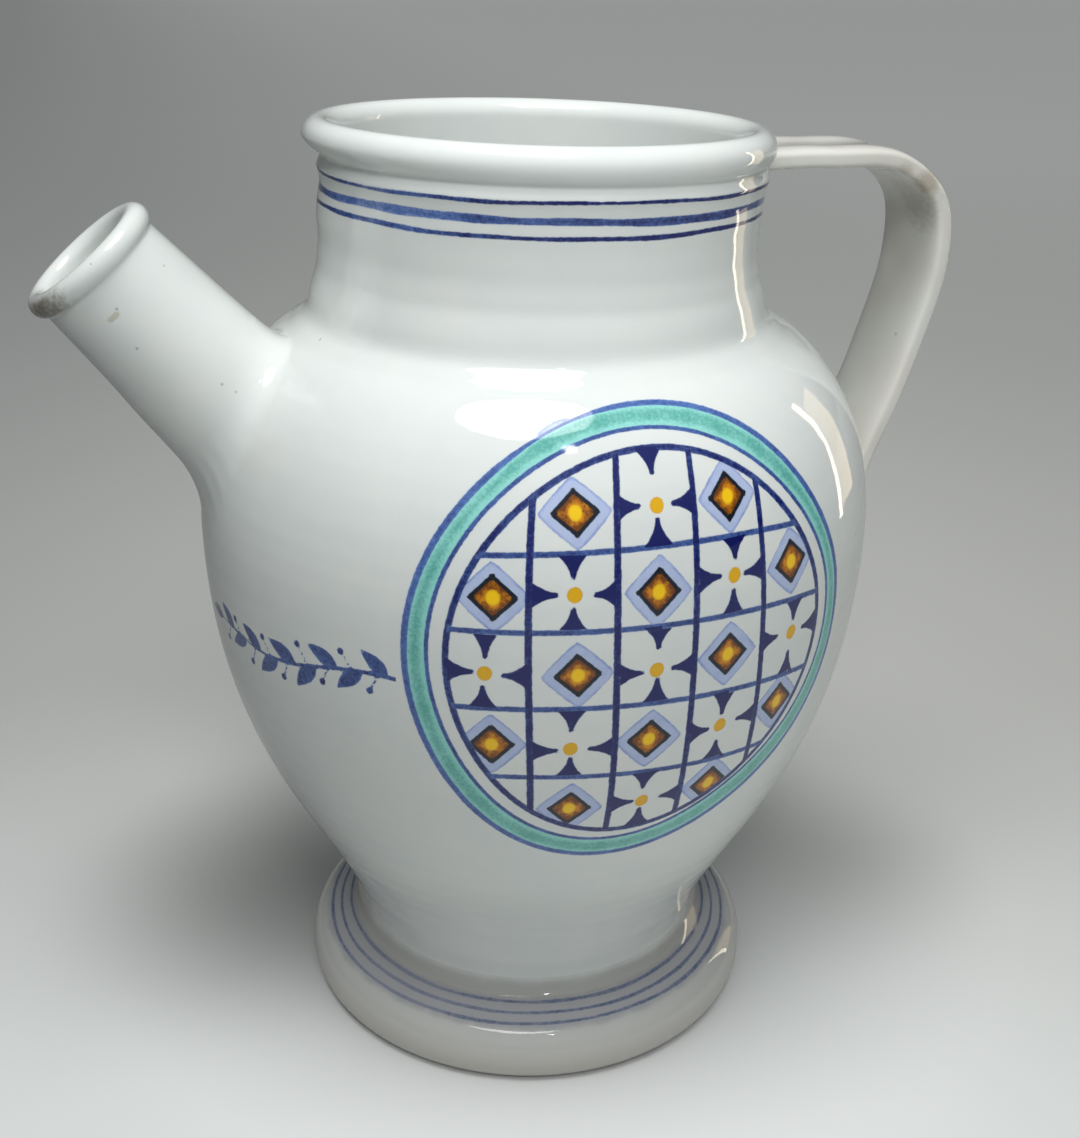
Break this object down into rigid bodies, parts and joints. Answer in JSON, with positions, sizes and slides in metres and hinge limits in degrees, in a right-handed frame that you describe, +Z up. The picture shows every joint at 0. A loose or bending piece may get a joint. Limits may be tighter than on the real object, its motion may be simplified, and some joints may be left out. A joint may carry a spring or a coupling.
{
  "type": "wine jug",
  "caption": "Footed wine jug of white-glazed earthenware: round belly, wide neck with a rolled lip, slanted tubular spout, strap handle, blue bands and a painted chequered roundel.",
  "frame": {"origin": "centre of the flat underside of the foot, on the surface that the jug stands on", "axes": "+Z up along the axis the jug was thrown on; the spout points to -X and up, the strap handle is on +X, the painted roundel faces -Y"},
  "size_m": [0.215, 0.1592, 0.2209],
  "materials": {
    "painted_glaze": "gloss",
    "white_glaze": "gloss"
  },
  "bodies": {
    "root": {"foot": "painted_glaze", "belly": "painted_glaze", "neck": "painted_glaze", "lip": "white_glaze", "spout_tube": "white_glaze", "spout_mouth_bead": "white_glaze", "spout_collar": "white_glaze", "handle_strap": "white_glaze", "handle_upper_wad": "white_glaze", "handle_lower_wad": "white_glaze"}
  },
  "joints": []
}
